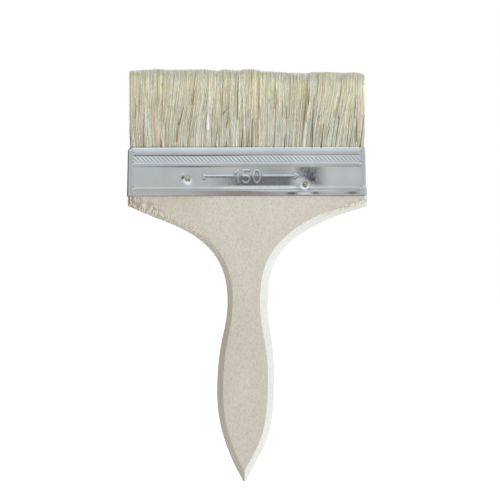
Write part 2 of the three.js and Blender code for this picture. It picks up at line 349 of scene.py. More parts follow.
def bristle_material():
    """Natural bristle, in the colours that the strands carry."""
    hair = Material("natural_bristle")
    tint = hair.attribute("tint", "Color")
    streak = hair.noise(hair.stretched(1, 1, 0.2), 2400, 2)
    colour = hair.mix(hair.range(streak, 0.38, 0.68, 0, 0.34), tint, srgb(160, 142, 108))
    hair.surface(Base_Color=colour, Roughness=0.6, Specular_IOR_Level=0.2)
    return hair.material


def root_material():
    """The set ends of the bristles, inside the ferrule."""
    roots = Material("set_roots")
    streak = roots.noise(roots.stretched(1, 1, 0.05), 1800, 2)
    roots.surface(Base_Color=roots.mix(streak, STRAW, TAN), Roughness=0.5)
    return roots.material


def resin_material():
    """Cloudy amber resin."""
    resin = Material("resin")
    cloud = resin.noise(resin.place, 300, 3)
    colour = resin.mix(cloud, srgb(120, 92, 52), srgb(165, 134, 84))
    resin.surface(Base_Color=colour, Roughness=0.35)
    resin.bumped(cloud, 0.1 * MM)
    return resin.material


# ---- handle

FACE_COLUMNS = 30  # from the middle of the face to the chamfer's ridge
CHAMFER_COLUMNS = 9
WALL_POINTS = 7
WALL_FUR = 0.25  # how furry a side wall is, over the face beside it
EDGE_ROUND = 0.2 * MM
RIDGE_SOFTNESS = 0.15 * MM
SIDE_CHAMFER = 1.7 * MM  # on the short straight sides below the ferrule
TIP_ROUND = 0.5 * MM
TIP_END_Z = 10 * MM  # finer rings below this height
NECK_Z = 117 * MM  # the narrowest place
SHOULDER_Z = 145 * MM  # finer rings above this height
HIDDEN_HEAD = 0.5 * MM  # the full thickness goes on this far inside the ferrule
HEAD_SCALE = 0.94  # the head inside the ferrule is this much smaller

# How far the sawn handle runs off its middle line, in millimetres: height, shift.
DRIFT = smooth_line([
    [0, -1.5], [12, -1.45], [27, -0.8], [54, -0.9], [90, -0.1], [118, 0.4], [140, -0.1],
    [160, -0.9], [167, -2.0], [171, -1.9], [174.5, 0.1], [177, 0.3], [182, 0.3]], 6) * MM


def handle_edge():
    """The handle's right-hand edge, from the CAD handle, as a dense line of half-width and
    height that ends inside the ferrule."""
    points = np.array([v.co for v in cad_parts["handle"].data.vertices])
    points = points[points[:, 2] < FOOT_Z]
    levels = np.unique(points[:, 2].round(6))
    halves = np.array([points[abs(points[:, 2] - z) < 2e-6, 0].max() for z in levels])
    corner = int(np.argmax(halves > SHOULDER_HALF - 1e-6))
    curved = smooth_line(np.stack([halves, levels], 1)[:corner + 1], 5)
    return np.vstack([curved, [[SHOULDER_HALF, handle_high.z]]])


def chamfer_width(side, z):
    """The right-hand chamfer is planed wider at the neck and up the shoulder, where the left
    one narrows."""
    neck = bump(z, NECK_Z, 30 * MM)
    shoulder = smoothstep(z, SHOULDER_Z + 5 * MM, SHOULDER_Z + 27 * MM)
    if side > 0:
        return EDGE_CHAMFER + 0.3 * MM + 0.8 * MM * neck + 0.5 * MM * shoulder
    return EDGE_CHAMFER - 0.45 * MM * neck - 2.2 * MM * shoulder


def half_section(side, z, half, edge, flatness):
    """One half of the front face at a height, from the middle to the edge: half-widths, drops
    below the face, how far each point is on the planed chamfer, with a quarter of its painted light
    on the left, and how far on furry end grain."""
    width = chamfer_width(side, z)
    curve = edge[:-1]

    def spare_at(x):
        away, nearest = line_distance(np.stack([x, np.full_like(x, z)], 1), curve)
        spare = width - away
        if z > curve[-1, 1]:
            spare = np.maximum(spare, SIDE_CHAMFER - (SHOULDER_HALF - x))
        return spare, away, flatness[np.minimum(nearest, len(flatness) - 2)] ** 2

    probe = np.linspace(0, half, 80)
    ridge = np.interp(0, spare_at(probe)[0], probe)
    inner = ridge * (1 - (1 - np.linspace(0, 1, FACE_COLUMNS)) ** 2)
    outer = ridge + (half - ridge) * np.linspace(0, 1, CHAMFER_COLUMNS + 1)[1:] ** 1.5
    x = np.concatenate([inner, outer])
    spare, away, lean = spare_at(x)
    drop = 0.5 * (spare + np.hypot(spare, RIDGE_SOFTNESS))
    planed_and_lit = smoothstep(spare, -0.1 * MM, 0.15 * MM)
    if side > 0:
        furry = lean * bump(away, 3.9 * MM, 1.6 * MM) * smoothstep(x, 42 * MM, 62 * MM)
    else:
        # The left chamfer takes only a quarter of the painted light.
        planed_and_lit = 0.25 * planed_and_lit
        corner = smoothstep(x, 44 * MM, 66 * MM)
        reach = (6.5 + 6 * corner) * MM
        furry = lean * (1 - smoothstep(away / reach, 0.25, 1)) * (0.85 + 0.3 * corner)
    return x, drop, planed_and_lit, furry


def handle_piece():
    """The handle, as rings from its tip up to its head inside the ferrule."""
    edge = handle_edge()
    step = np.diff(edge, axis=0)
    flatness = abs(step[:, 0]) / np.hypot(step[:, 0], step[:, 1])
    levels = np.concatenate([
        np.linspace(0, TIP_END_Z, 26)[:-1], np.linspace(TIP_END_Z, SHOULDER_Z, 150)[:-1],
        np.linspace(SHOULDER_Z, FOOT_Z - EDGE_GAP, 120)])
    halves = np.interp(levels, edge[:, 1], edge[:, 0])
    halves *= np.sqrt(1 - np.clip(1 - (levels + 0.05 * MM) / TIP_ROUND, 0, 1) ** 2)
    drift = np.interp(levels, DRIFT[:, 0], DRIFT[:, 1])
    wall = np.linspace(-1, 1, WALL_POINTS + 2)[1:-1]
    sides = np.ones(WALL_POINTS)

    rings = []
    marks = {"planed_and_lit": [], "furry": [], "wall": []}
    for z, half, shift in zip(levels, halves, drift):
        inset = min(EDGE_ROUND, 0.1 * half)
        right = half_section(1, z, half - inset, edge, flatness)
        left = half_section(-1, z, half - inset, edge, flatness)
        x = np.concatenate([-left[0][:0:-1], right[0]])
        drop, planed_and_lit, fur = (np.concatenate([a[:0:-1], b]) for a, b in zip(left[1:], right[1:]))
        y = np.maximum(BOARD_HALF - drop, 0.3 * MM)
        front = np.stack([x, -y, np.full_like(x, z)], 1)
        back = np.stack([x, y, np.full_like(x, z)], 1)[::-1]
        right_wall = [[half - inset * s**4, s * y[-1], z] for s in wall]
        left_wall = [[inset * s**4 - half, -s * y[0], z] for s in wall]
        rings.append(np.vstack([front, right_wall, back, left_wall]) + [shift, 0, 0])
        # The chamfers and both side walls take the painted light of planed wood.
        marks["planed_and_lit"] += [planed_and_lit, sides, planed_and_lit[::-1], sides]
        marks["furry"] += [fur, WALL_FUR * sides * fur[-1], fur[::-1], WALL_FUR * sides * fur[0]]
        # Painted shade on the side walls: full on the right wall, 0.3 on the left, against the strong
        # light from the right.
        marks["wall"] += [np.zeros_like(planed_and_lit), sides, np.zeros_like(planed_and_lit), 0.3 * sides]

    top = rings[-1]
    head_z = FOOT_Z + HIDDEN_HEAD
    for z, scale in ((head_z, 1), (head_z, HEAD_SCALE), (handle_high.z, HEAD_SCALE)):
        rings.append(top * [0.5 + 0.5 * scale, scale, 0] + [0, 0, z])
        for values in marks.values():
            values.append(np.zeros(len(top)))
    piece = mesh_object("handle_wood", np.vstack(rings), ring_faces(len(rings), len(top)))
    for name, values in marks.items():
        point_data(piece, name, np.concatenate(values))
    return piece


# ---- ferrule

SHEET_ROWS = 112  # rings up the outside of the sleeve

# Heights above the ferrule's foot, in millimetres.
FOOT_BAND = 3.0
LOW_BEAD = 5.2
LOW_CREASE = 18.6
MIDDLE_BEAD = 20.8
ROPE = 23.6
TOP_CREASE = 25.5
TOP_BAND = 27.3
SIZE_LINE = 12.6
ROPE_PITCH = 2.63
SKEW = 0.0035  # the sleeve sits a little askew: its rise over its width

# Creases rolled across the sheet: height, then places along the width and how far the sheet
# above the crease steps out at each of them.
CREASES = [
    (FOOT_BAND, [-70, 0, 12, 50, 64, 70], [0.0, 0.0, -0.11, -0.07, 0.0, 0.03]),
    (LOW_CREASE, [-70, -50, -32, -22, -8, 18, 50, 70], [0, 0.05, 0.13, 0.05, 0, -0.03, 0, 0.03]),
    (TOP_CREASE, [-70, -34, -20, -6, 10, 70], [0.04, 0.11, 0.10, 0.03, -0.08, -0.06]),
]

# One strand of the rope band: share of the pitch and how far it stands out, from 0 to 1.
ROPE_STRAND = np.array([[0, 1.0], [0.12, 0.92], [0.36, 0.06], [0.48, 0.0], [1.0, 1.0]])

# Dents pressed by the nails and by use, on the front. Each tilts a patch of the sheet: how far
# it looks down (or up, below zero), and its middle (x, height) and reach (x, height). Those that
# look down also get painted shade.
DENTS = [
    (0.22, -40.6, 11.5, 1.0, 1.6), (-0.22, 36.4, 1.3, 4.4, 1.1), (0.13, 28.8, 1.4, 3.0, 1.3),
    (0.12, 43.5, 1.6, 2.2, 1.2), (0.15, 37.4, 3.9, 3.2, 0.6), (0.12, 66.9, 1.6, 3.2, 1.2),
    (-0.05, 32.5, 9.4, 3.6, 3.0), (0.045, 17.0, 15.8, 12.0, 5.5), (-0.03, 68.0, 13.0, 10.0, 9.0),
]

# Left edge of the painted dark reflection beside the right-hand nail: height and x, in millimetres.
DARK_REFLECTION_EDGE = np.array([[6.5, 42.0], [9.0, 39.5], [12.5, 34.0], [18.5, 31.5]])


def dark_reflection(x, height):
    """How dark the painted dark reflection is: a patch that narrows towards the foot, darkest low down.
    """
    left = np.interp(height, DARK_REFLECTION_EDGE[:, 0], DARK_REFLECTION_EDGE[:, 1])
    across = smoothstep(x, left - 3.5, left + 4.5) * (1 - smoothstep(x, 41.0, 53.0))
    up = smoothstep(height, 4.8, 8.0) * (1 - smoothstep(height, 17.8, 18.3))
    return across * up * (0.70 + 0.4 * bump(x, 40.4, 3.0) * bump(height, 10.0, 3.4))


def arc(centre, radii, start, end, steps=12):
    """Points along part of an ellipse, between two angles in degrees."""
    angles = np.radians(np.linspace(start, end, steps))
    return np.stack([centre[0] + radii[0] * np.cos(angles), centre[1] + radii[1] * np.sin(angles)], 1)


def size_mark():
    """The strokes of a plain dimension line with the width in millimetres, in (x, height)."""
    low, high = SIZE_LINE - 4.5, SIZE_LINE + 3.5
    middle = (low + high) / 2
    return [
        np.array([[-27.3, SIZE_LINE], [-9.0, SIZE_LINE]]),
        np.array([[-27.3, SIZE_LINE - 1.7], [-27.3, SIZE_LINE + 0.8]]),
        np.array([[10.4, SIZE_LINE], [32.0, SIZE_LINE]]),
        np.array([[30.4, SIZE_LINE + 1.2], [32.4, SIZE_LINE - 0.2], [30.4, SIZE_LINE - 1.4]]),
        np.array([[-7.2, high - 1.7], [-5.6, high], [-5.6, low]]),
        np.vstack([[[1.4, high], [-2.3, high], [-2.5, middle + 0.5]],
                   arc((-0.7, low + 2.3), (2.4, 2.3), 130, -150)]),
        arc((6.3, middle), (2.2, (high - low) / 2), 0, 360, 24),
    ]


def nail_spots(side):
    """The middles, in millimetres, of the nails on the front (-1) or the back (1)."""
    spots = []
    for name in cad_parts:
        if name.startswith("nail_"):
            low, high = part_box(name)
            if (low.y + high.y) * side > 0:
                spots.append(((low.x + high.x) / 2 / MM, ((low.z + high.z) / 2 - FOOT_Z) / MM))
    return spots


def ledge(height, middle, rise, fall):
    """A bead's profile: a quick rise going down past its middle, then a slow fall."""
    stands = rise * (1 - smoothstep(height, middle - 0.5, middle + 0.5))
    return stands - fall * np.clip(middle - 0.4 - height, 0, 2.2)


def pressed_lines(x, height, side):
    """The rolled relief that runs the width of the sheet: beads, creases, rope and top band."""
    out = ledge(height, LOW_BEAD, 0.09, 0.03) + ledge(height, MIDDLE_BEAD, 0.09, 0.03)
    across = -x * side
    for middle, places, steps in CREASES:
        crease = np.interp(across, places, steps)
        out += crease * smoothstep(height, middle - 0.35, middle + 0.35)
    out -= 0.05 * bump(height, TOP_CREASE, 0.4)
    out -= 0.019 * (np.maximum(height, TOP_BAND - 1.6) - TOP_BAND) ** 2
    out -= 0.03 * np.clip(height - TOP_BAND - 1.2, 0, 1.4)
    out -= 0.03 * np.clip(height - ROPE + 1.8, 0, 3.6)
    turn = (x + 0.95 * (height - ROPE)) / ROPE_PITCH % 1
    twist = np.interp(turn, ROPE_STRAND[:, 0], ROPE_STRAND[:, 1])
    window = np.clip(1 - ((height - ROPE) / 1.95) ** 8, 0, 1)
    worn = 1 - 0.4 * smoothstep(across, 40, 74)
    return out + window * 0.15 * (twist - 0.55) * worn


def panel_relief(x, height, side):
    """How far the pressed sheet stands out, in millimetres, on the front (side -1) or the back
    (side 1), with its painted shade and grime, painted reddish reflection and painted highlight. x is
    seen from the front."""
    out = pressed_lines(x, height, side)
    rim_highlight = np.zeros_like(out)
    # Painted shade in the top and low creases.
    shade_and_grime = 0.25 * bump(height, TOP_CREASE, 0.4) + 0.2 * bump(height, LOW_CREASE, 0.35)
    foot = np.clip(FOOT_BAND - height, 0, None)
    out -= 0.05 * foot * bump(x, 3, 34)
    low_band = 1 - smoothstep(height, FOOT_BAND - 0.5, FOOT_BAND + 0.3)
    # Painted reddish reflection along the foot band, fading out to the right.
    red_reflection = 0.62 * bump(x, -5, 25) * (1 - 0.7 * smoothstep(x, 13, 18)) * low_band
    # Darker along the foot band.
    shade_and_grime += (0.16 * bump(x, 0, 34) + 0.06 * bump(x, 54, 9)) * low_band
    for nail_x, nail_height in nail_spots(side):
        below = nail_height - height
        out -= 0.55 * bump(np.hypot(x - nail_x, below - 1.2), 0, 1.9)
        # Painted highlight on the lower rim of each nail's dimple.
        ring = bump(np.hypot(x - nail_x + 0.3, below - 0.5), 2.2, 0.7)
        rim_highlight += 0.75 * ring * smoothstep(below, -2.4, 0.4)
    out += 0.02 * np.sin(x / 6.1 + side) * np.sin(height / 5 + x / 31)
    out += 0.04 * np.sin(x / 17 + 2 * side) * np.sin(height / 9 + 1)
    if side < 0:
        hollow = np.clip((SIZE_LINE - height) / 6, 0, 1) * smoothstep(height, 4.6, 6.1)
        out -= 0.74 * smoothstep(x, -23, 3) * (1 - smoothstep(x, 25, 33)) * hollow
        shaded = smoothstep(hollow, 0.02, 0.3) * (1 - smoothstep(x, 24, 33))
        # Painted shade in the hollow under the size line, and a painted dark reflection beside the
        # right-hand nail.
        shade_and_grime += 0.28 * smoothstep(x, -29, -6) * shaded + dark_reflection(x, height)
        for tilt, dent_x, dent_height, reach_x, reach_height in DENTS:
            patch = bump(x, dent_x, reach_x) * bump(height, dent_height, reach_height)
            out += tilt * (height - dent_height) * patch
            # Painted shade on the dents that look down.
            shade_and_grime += max(tilt, 0) * 3 * patch
        points = np.stack([x.ravel(), height.ravel()], 1)
        gap = np.min([line_distance(points, line)[0] for line in size_mark()], axis=0)
        gap = gap.reshape(x.shape)
        out += 0.26 * bump(gap, 0, 0.45)
        # Painted shade round the raised strokes of the size mark.
        shade_and_grime += 0.25 * bump(gap, 0.95, 0.35)
    return out, np.clip(shade_and_grime, 0, 0.95), red_reflection, rim_highlight


def corner_columns(x, y, start):
    """Columns round a corner of the sleeve whose middle is at x, y, from an angle in degrees."""
    columns = []
    for angle in np.radians(start + np.linspace(0, 90, 9)[1:-1]):
        out_x, out_y = math.cos(angle), math.sin(angle)
        columns.append([x + FERRULE_CORNER * out_x, y + FERRULE_CORNER * out_y, out_x, out_y, 0])
    return columns


def sleeve_columns():
    """Points round the ferrule's plain sleeve, anticlockwise from above: x, y, outward x and
    y, and the side whose relief they carry (0 on the narrow sides)."""
    straight_x = SLEEVE_HALF_X - FERRULE_CORNER
    straight_y = SLEEVE_HALF_Y - FERRULE_CORNER
    marked = 36 * MM  # finer columns behind the size mark
    plain = np.linspace(marked, straight_x, 100)
    front = np.concatenate([-plain[::-1], np.linspace(-marked, marked, 241)[1:-1], plain])
    back = np.linspace(straight_x, -straight_x, 185)
    flank = np.linspace(-straight_y, straight_y, 22)
    columns = [[x, -SLEEVE_HALF_Y, 0, -1, -1] for x in front]
    columns += corner_columns(straight_x, -straight_y, -90)
    columns += [[SLEEVE_HALF_X, y, 1, 0, 0] for y in flank]
    columns += corner_columns(straight_x, straight_y, 0)
    columns += [[x, SLEEVE_HALF_Y, 0, 1, 1] for x in back]
    columns += corner_columns(-straight_x, straight_y, 90)
    columns += [[-SLEEVE_HALF_X, -y, -1, 0, 0] for y in flank]
    columns += corner_columns(-straight_x, -straight_y, 180)
    return np.array(columns)


def front_and_back_maps(columns, height):
    """For each column and height, in millimetres and shares: how far the sheet stands out,
    and its painted shade and grime, painted reddish reflection and painted highlight."""
    relief, shade_and_grime, red_reflection, rim_highlight = np.zeros((4, len(columns), len(height)))
    straight = (SLEEVE_HALF_X - FERRULE_CORNER) / MM
    for side in (-1, 1):
        chosen = columns[:, 4] == side
        x, h = np.meshgrid(columns[chosen, 0] / MM, height, indexing="ij")
        edge = 1 - smoothstep(abs(x), straight - 1.4, straight - 0.2)
        for end_height in (LOW_BEAD, MIDDLE_BEAD, TOP_BAND):
            edge_dent = np.hypot(abs(x) - straight + 1.2, h - end_height)
            relief[chosen] -= 0.12 * bump(edge_dent, 0, 0.5)
        made, shaded_grimed, reflected_red, rim_lit = panel_relief(x, h, side)
        relief[chosen] += made * edge
        shade_and_grime[chosen] = shaded_grimed * edge + 0.1 * (1 - edge)
        red_reflection[chosen] = reflected_red * edge
        rim_highlight[chosen] = rim_lit
    return relief, shade_and_grime, red_reflection, rim_highlight


def add_narrow_sides(columns, height, relief, shade_and_grime):
    """Shape the narrow sides in place: pressed in above the foot on the right, drawn in at
    the mouth on the left, with a lap seam down the middle of the right one."""
    full = height[-1]
    outward = columns[:, 2]
    right = outward > 0
    relief[right] -= 0.45 * smoothstep(height, 4, 7) + 0.15 * height / full
    relief[outward < 0] -= 1.3 * np.clip((height - full + 2.8) / 2.8, 0, 1) ** 2
    # The rounded corners are darker.
    shade_and_grime[(outward != 0) & (abs(outward) < 0.95)] += 0.16
    seam = outward > 0.99
    lap = columns[seam, 1] / MM
    relief[seam] += 0.28 * smoothstep(lap, -1.6, -1.2)[:, None]
    # Painted shade under the step of the lap seam.
    shade_and_grime[seam] += 0.5 * bump(lap, -1.75, 0.25)[:, None]


def ferrule_piece():
    """The sleeve, as rings up its outside, over the lip of its mouth and down its inside."""
    columns = sleeve_columns()
    count = len(columns)
    full = (MOUTH_Z - FOOT_Z) / MM
    height = np.linspace(0, full, SHEET_ROWS)
    relief, shade_and_grime, red_reflection, rim_highlight = front_and_back_maps(columns, height)
    add_narrow_sides(columns, height, relief, shade_and_grime)

    out = relief * MM + TAPER * (1 - 2 * height / full)
    lip = np.clip((height - full + 0.9) / 0.9, 0, 1)
    out -= 0.35 * MM * (1 - np.sqrt(1 - lip**2))
    rows = [(out[:, k], height[k], shade_and_grime[:, k], red_reflection[:, k], rim_highlight[:, k]) for k in range(SHEET_ROWS)]
    # Painted shade on the inside of the sleeve.
    inside = np.full(count, 0.6), np.zeros(count), np.zeros(count)
    rows.append((out[:, -1] - TIN, full - 0.15, *inside))
    rows += [(out[:, k] - TIN, height[k], *inside) for k in range(SHEET_ROWS - 4, 0, -6)]
    rows.append((out[:, 0] - TIN, 0, *inside))

    x, y, out_x, out_y = columns[:, :4].T
    rings = [np.stack([x + out_x * row[0], y + out_y * row[0], FOOT_Z + row[1] * MM + SKEW * x], 1)
             for row in rows]
    starts = np.arange(len(rows)) * count
    faces = quads_between(starts, np.roll(starts, -1), count)
    piece = mesh_object("ferrule_tin", np.vstack(rings), faces)
    for index, name in ((2, "shade_and_grime"), (3, "red_reflection"), (4, "rim_highlight")):
        point_data(piece, name, np.concatenate([row[index] for row in rows]))
    return piece


# ---- nails

NAIL_SIDES = 28
SHANK_RADIUS = 0.6 * MM
NAIL_DOME = 0.7 * MM


def nail_piece(node):
    """A domed nail with a hammered head, on the CAD nail's place."""
    low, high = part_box(node)
    centre_x, centre_z = (low.x + high.x) / 2, (low.z + high.z) / 2
    head_radius = (high.x - low.x) / 2
    side = 1 if high.y + low.y > 0 else -1
    outer = high.y if side > 0 else -low.y
    point = low.y if side > 0 else -high.y
    under = outer - NAIL_DOME
    profile = [(0.03 * MM, point), (SHANK_RADIUS, point + 1.5 * MM), (SHANK_RADIUS, under),
               (0.97 * head_radius, under), (head_radius, outer - 0.8 * NAIL_DOME)]
    for angle in np.radians(np.linspace(30, 85, 6)):
        profile.append((head_radius * math.cos(angle), under + NAIL_DOME * math.sin(angle)))
    turn = np.linspace(0, 2 * math.pi, NAIL_SIDES, endpoint=False)
    rings = []
    for radius, depth in profile:
        knock = 1 + 0.05 * np.sin(2 * turn + centre_x * 900) * (radius > 1.1 * SHANK_RADIUS)
        ring_x = centre_x - side * radius * knock * np.cos(turn)
        ring_z = centre_z + radius * knock * np.sin(turn)
        rings.append(np.stack([ring_x, np.full_like(turn, side * depth), ring_z], 1))
    return mesh_object(node + "_steel", np.vstack(rings), ring_faces(len(rings), NAIL_SIDES))


# ---- bristles

STRANDS_PER_PIECE = 4500
RINGS = 8
PACK_HALF_X = SLEEVE_HALF_X - 1.5 * MM
PACK_HALF_Y = SLEEVE_HALF_Y - 1.0 * MM
ROOT_Z = roots_high.z + 0.2 * MM
MOUTH_SHARE = (MOUTH_Z + 0.2 * MM - ROOT_Z) / (cad_high.z - ROOT_Z)
RING_SHARES = np.concatenate([[0, MOUTH_SHARE, MOUTH_SHARE + 0.02], np.linspace(0.3, 1, RINGS - 3)])
TIP_NARROWING = 0.84  # the pack's thickness at the tips over that at the roots
STRAND_RADIUS = 0.165 * MM

# The line of the trimmed tips: share of the half-width, and drop below the top in millimetres.
TIP_LINE = np.array([
    [-1.0, 1.3], [-0.89, 0.65], [-0.75, 0.0], [-0.68, 0.45], [-0.34, 0.3], [-0.24, 1.2], [-0.21, 0.2],
    [-0.07, 0.95], [0.0, 0.0], [0.04, 0.0], [0.1, 0.85], [0.13, 1.4], [0.23, 1.7], [0.37, 2.4],
    [0.5, 2.7], [0.57, 1.9], [0.71, 1.9], [0.81, 2.5], [0.91, 2.2], [0.95, 2.5], [0.98, 3.2],
    [1.0, 4.8]])

# How far the tips lean to the right of the roots, in millimetres, along the width.
LEAN = np.array([
    [-1.0, 0.0], [-0.8, 1.0], [-0.64, 5.5], [-0.5, 7.0], [-0.38, 4.0], [-0.24, 1.0], [0.0, 0.8],
    [0.2, 0.3], [0.4, 2.0], [0.6, 6.0], [0.76, 7.0], [0.88, 4.0], [1.0, 0.0]])

CREAM = srgb(228, 231, 212)
PALE = srgb(226, 230, 216)
STRAW = srgb(226, 222, 188)
TAN = srgb(208, 180, 126)
BROWN = srgb(150, 112, 72)
DARK = srgb(62, 54, 46)
PALETTE = np.array([CREAM, PALE, STRAW, TAN, BROWN, DARK])
WARM = np.array(srgb(238, 232, 203))  # what the tips tend to
GREY = np.array(srgb(227, 234, 246))  # what the roots tend to
DARK_IS_WARM = np.array([1.0, 1.14, 1.75, 1.0])  # powers of the shade, for a hair's red to blue
CLUMP_SHARES = [0.44, 0.2, 0.25, 0.1, 0.01, 0.0]
STRAY_SHARES = [0.35, 0.28, 0.21, 0.12, 0.03, 0.01]
CLUMP_HOLD = 0.12  # share of the strands that take their clump's colour
SHADE_SPREAD = 0.125  # how much the brightness differs from strand to strand

# How bright the strands are along their length, as painted light and shade: dark inside the
# ferrule, a painted shadow line at the mouth, lighter towards the tips. Share of the length,
# brightness.
LEVEL = np.array([
    [0, 0.74], [MOUTH_SHARE, 0.81], [MOUTH_SHARE + 0.02, 1.10], [0.4, 1.12], [0.8, 1.26], [1.0, 1.54]])


def patches(random, across, up, cell_x, cell_z):
    """Soft random patches, about -1 to 1, in cells that are longer than they are wide."""
    u = (across - across.min()) / cell_x
    v = (up - up.min()) / cell_z
    grid = random.normal(0, 0.6, (int(u.max()) + 2, int(v.max()) + 2))
    column, row = u.astype(int), v.astype(int)
    share_u, share_v = u - column, v - row
    low = grid[column, row] * (1 - share_u) + grid[column + 1, row] * share_u
    high = grid[column, row + 1] * (1 - share_u) + grid[column + 1, row + 1] * share_u
    return low * (1 - share_v) + high * share_v


def strand_tubes(line, radius, spin):
    """Three-sided tubes: line is (strand, ring, xyz), radius is (strand, ring)."""
    corners = spin[:, None] + np.array([0, 2, 4]) * math.pi / 3
    points = np.repeat(line[:, :, None, :], 3, axis=2)
    points[..., 0] += radius[:, :, None] * np.cos(corners)[:, None, :]
    points[..., 1] += radius[:, :, None] * np.sin(corners)[:, None, :]
    return points


def strand_faces(count):
    """Three walls between each two rings of a strand, and a triangle at each end."""
    one = []
    for ring in range(RINGS - 1):
        for corner in range(3):
            low, after = 3 * ring + corner, 3 * ring + (corner + 1) % 3
            one.append([low, after, after + 3, low + 3])
    last = 3 * (RINGS - 1)
    base = np.arange(count)[:, None, None] * 3 * RINGS
    walls = (base + np.array(one)[None]).reshape(-1, 4).tolist()
    ends = (base + np.array([[2, 1, 0], [last, last + 1, last + 2]])[None]).reshape(-1, 3).tolist()
    return walls + ends


def strand_uv(piece, count):
    """A UV layer that gives each strand its own narrow cell, its length running up the cell."""
    across = 140
    down = math.ceil(count / across)
    loops = np.empty(len(piece.data.loops), np.int32)
    piece.data.loops.foreach_get("vertex_index", loops)
    strand, place = np.divmod(loops, 3 * RINGS)
    ring, corner = np.divmod(place, 3)
    u = (strand % across + 0.3 + 0.2 * corner) / across
    v = (strand // across + 0.1 + 0.8 * ring / (RINGS - 1)) / down
    layer = piece.data.uv_layers.new(name="OFBake")
    layer.data.foreach_set("uv", np.stack([u, v], 1).astype(np.float32).ravel())


def strand_piece(name, points, colour):
    """One mesh from (strand, ring, corner, xyz) points and (strand, ring, rgba) colours."""
    count = len(points)
    piece = mesh_object(name, points.reshape(-1, 3), strand_faces(count))
    tints = np.repeat(colour[:, :, None, :], 3, axis=2)
    point_data(piece, "tint", tints, "FLOAT_COLOR", "color")
    strand_uv(piece, count)
    return piece


def belly(t):
    """How much thicker the pack is at a share of its height than straight rows would be."""
    return 1 + 0.05 * np.sin(math.pi * t)


def strand_lines(random, x, y, clump_lean, clump_x):
    """The middle line of each strand, (strand, ring, xyz), from its root at x, y to its tip.
    Strands of one clump share a lean, and their tips draw in towards its middle."""
    count = len(x)
    across = x / PACK_HALF_X
    edge_hold = 1 - smoothstep(abs(across), 0.93, 1.0)
    lean = np.interp(across, LEAN[:, 0], LEAN[:, 1])
    lean = (lean + (clump_lean + random.normal(0, 1.0, count)) * edge_hold) * MM
    sway = random.normal(0, 0.4, count) * MM * edge_hold
    tip_y = y * TIP_NARROWING + random.normal(0, 0.3, count) * MM
    tip_x = np.clip(x + lean + 0.3 * (clump_x - x), -PACK_HALF_X, PACK_HALF_X)
    drop = np.interp(tip_x / PACK_HALF_X, TIP_LINE[:, 0], TIP_LINE[:, 1]) * MM
    shortfall = random.exponential(0.35, count) * MM
    shortfall += np.where(random.random(count) < 0.05, random.uniform(0, 5, count) * MM, 0)
    tip_z = cad_high.z - drop - shortfall

    t = RING_SHARES
    bend = smoothstep(t, 0.08, 1.0)
    spread = smoothstep(t, 0.08, 0.25)
    bulge = np.where((x > 0)[:, None], 0.998 + 0.008 * spread, 0.988 + 0.016 * spread)
    line = np.empty((count, RINGS, 3))
    line[..., 0] = x[:, None] + (tip_x - x)[:, None] * bend + sway[:, None] * np.sin(math.pi * t)
    line[..., 0] = np.clip(line[..., 0], -PACK_HALF_X, PACK_HALF_X) * bulge
    line[..., 1] = (y[:, None] + (tip_y - y)[:, None] * t) * belly(t)
    line[..., 2] = ROOT_Z + (tip_z - ROOT_Z)[:, None] * t
    return line


def strand_tints(random, x, z, colour):
    """The colour of each strand at each ring, (strand, ring, rgba). It tends to grey at the
    roots and cream at the tips, with tan patches. Painted shade darkens it inside the ferrule and
    in a line at the mouth, and painted light brightens it towards the tips and the right."""
    t = RING_SHARES
    even = WARM + (GREY - WARM) * (1 - t)[:, None]
    tint = colour[:, None, :] + (even - colour[:, None, :]) * (0.35 + 0.15 * t)[:, None]
    along = np.broadcast_to(x[:, None], z.shape)
    straw = np.clip(patches(random, along, z, 0.6 * MM, 9 * MM), 0, 1)[..., None]
    tint = tint + (np.array(TAN) - tint) * (0.5 - 0.25 * t)[:, None] * straw
    steadier = 1 - 0.45 * smoothstep(t, 0.3, 0.9)
    shade = 1 + random.normal(0, SHADE_SPREAD, len(x))[:, None] * steadier
    shade = shade * (1 + 0.03 * steadier * patches(random, along, z, 0.5 * MM, 7 * MM))
    tint = tint * np.clip(shade, 0.4, 1.06)[..., None] ** DARK_IS_WARM
    across = x / PACK_HALF_X
    # Painted highlight: the right edge is mixed pale.
    lit_rim = smoothstep(across, 0.93, 1.0)[:, None, None]
    tint = tint + (np.array(PALE) - tint) * 0.6 * lit_rim
    # Painted light and shade along the length, and painted light towards the right.
    level = np.interp(t, LEVEL[:, 0], LEVEL[:, 1]) * (1 + 0.06 * smoothstep(across, 0.2, 0.9))[:, None]
    tint = np.clip(tint * level[..., None], 0, 1)
    tint[..., 3] = 1
    return tint


